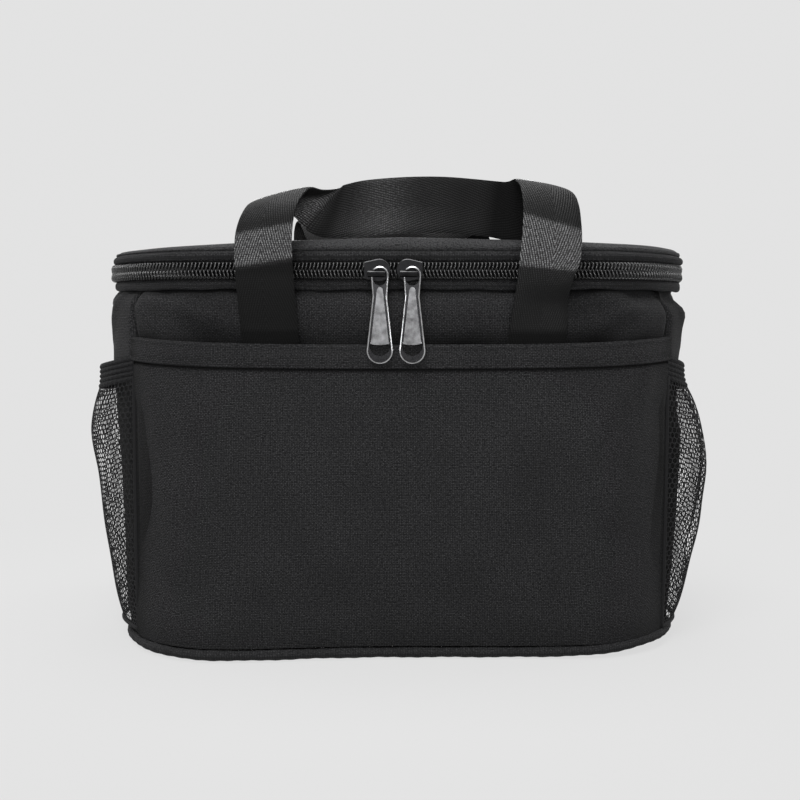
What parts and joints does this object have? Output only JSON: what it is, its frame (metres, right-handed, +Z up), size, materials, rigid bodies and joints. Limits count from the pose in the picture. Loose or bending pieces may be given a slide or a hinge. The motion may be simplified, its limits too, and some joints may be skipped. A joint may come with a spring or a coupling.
{
  "type": "insulated cooler bag",
  "caption": "Soft box-shaped insulated bag with a zipped padded lid, webbing handles, a front pocket and net side pockets.",
  "frame": {"origin": "on the floor under the middle of the bag's base", "axes": "+Z up, -Y towards the front pocket and the zip pulls, +X to the right seen from the front"},
  "size_m": [0.311, 0.195, 0.2182],
  "materials": {
    "oxford_cloth": "woven, matt, heathered black",
    "piping_cloth": "woven, matt black",
    "insulation_foam": "closed-cell foam",
    "foil_lining": "silver film, soft sheen",
    "zip_tape_cloth": "woven tape",
    "zip_coil": "nylon coil, slight gloss",
    "net": "open knitted net",
    "elastic": "ribbed elastic",
    "webbing": "herringbone webbing",
    "slider_metal": "black nickel",
    "pull_metal": "dark polished",
    "pull_satin": "satin grey"
  },
  "bodies": {
    "body": {"bottom_panel": "oxford_cloth", "front_panel": "oxford_cloth", "back_panel": "oxford_cloth", "left_side_panel": "oxford_cloth", "right_side_panel": "oxford_cloth", "foam_base": "insulation_foam", "foam_front": "insulation_foam", "foam_back": "insulation_foam", "foam_left": "insulation_foam", "foam_right": "insulation_foam", "liner_tub": "foil_lining", "bottom_piping": "piping_cloth", "rim_band": "oxford_cloth", "lower_zip_tape": "zip_tape_cloth", "lower_zip_coil": "zip_coil", "hinge_strip": "oxford_cloth", "front_pocket": "oxford_cloth", "front_pocket_hem": "oxford_cloth", "left_mesh_pocket": "net", "right_mesh_pocket": "net", "left_pocket_elastic": "elastic", "right_pocket_elastic": "elastic", "front_handle_ends": "webbing", "back_handle_ends": "webbing"},
    "lid": {"upper_zip_tape": "zip_tape_cloth", "upper_zip_coil": "zip_coil", "lid_side_band": "oxford_cloth", "lid_top_panel": "oxford_cloth", "lid_foam": "insulation_foam", "lid_liner": "foil_lining"},
    "left_slider": {"left_slider": "slider_metal"},
    "right_slider": {"right_slider": "slider_metal"},
    "left_pull": {"left_pull": "pull_metal", "left_pull_inlay": "pull_satin"},
    "right_pull": {"right_pull": "pull_metal", "right_pull_inlay": "pull_satin"},
    "front_handle": {"front_handle": "webbing"},
    "back_handle": {"back_handle": "webbing"}
  },
  "joints": [
    {"name": "lid_hinge", "type": "hinge", "parent": "body", "child": "lid", "pos_m": [0, 0.087, 0.17345], "axis": [-1, 0, 0], "range_deg": [0, 105], "deforming": ["hinge_strip", "front_handle"]},
    {"name": "left_slider_travel", "type": "slide", "parent": "body", "child": "left_slider", "axis": [-1, 0, 0], "range_m": [0, 0.0688], "deforming": ["front_handle"]},
    {"name": "right_slider_travel", "type": "slide", "parent": "body", "child": "right_slider", "axis": [1, 0, 0], "range_m": [0, 0.0729], "deforming": ["front_handle"]},
    {"name": "left_pull_swing", "type": "hinge", "parent": "left_slider", "child": "left_pull", "pos_m": [-0.008, -0.0919, 0.17195], "axis": [-1, 0, 0], "range_deg": [0, 150]},
    {"name": "right_pull_swing", "type": "hinge", "parent": "right_slider", "child": "right_pull", "pos_m": [0.0063, -0.0919, 0.17195], "axis": [-1, 0, 0], "range_deg": [0, 150]},
    {"name": "front_handle_swing", "type": "hinge", "parent": "body", "child": "front_handle", "pos_m": [0, -0.0905, 0.1455], "axis": [1, 0, 0], "range_deg": [0, 150]},
    {"name": "back_handle_swing", "type": "hinge", "parent": "body", "child": "back_handle", "pos_m": [0, 0.0875, 0.1455], "axis": [-1, 0, 0], "range_deg": [0, 105]}
  ],
  "couplings": [
    {"joint": "back_handle_swing", "follows": "lid_hinge", "ratio": 1}
  ]
}
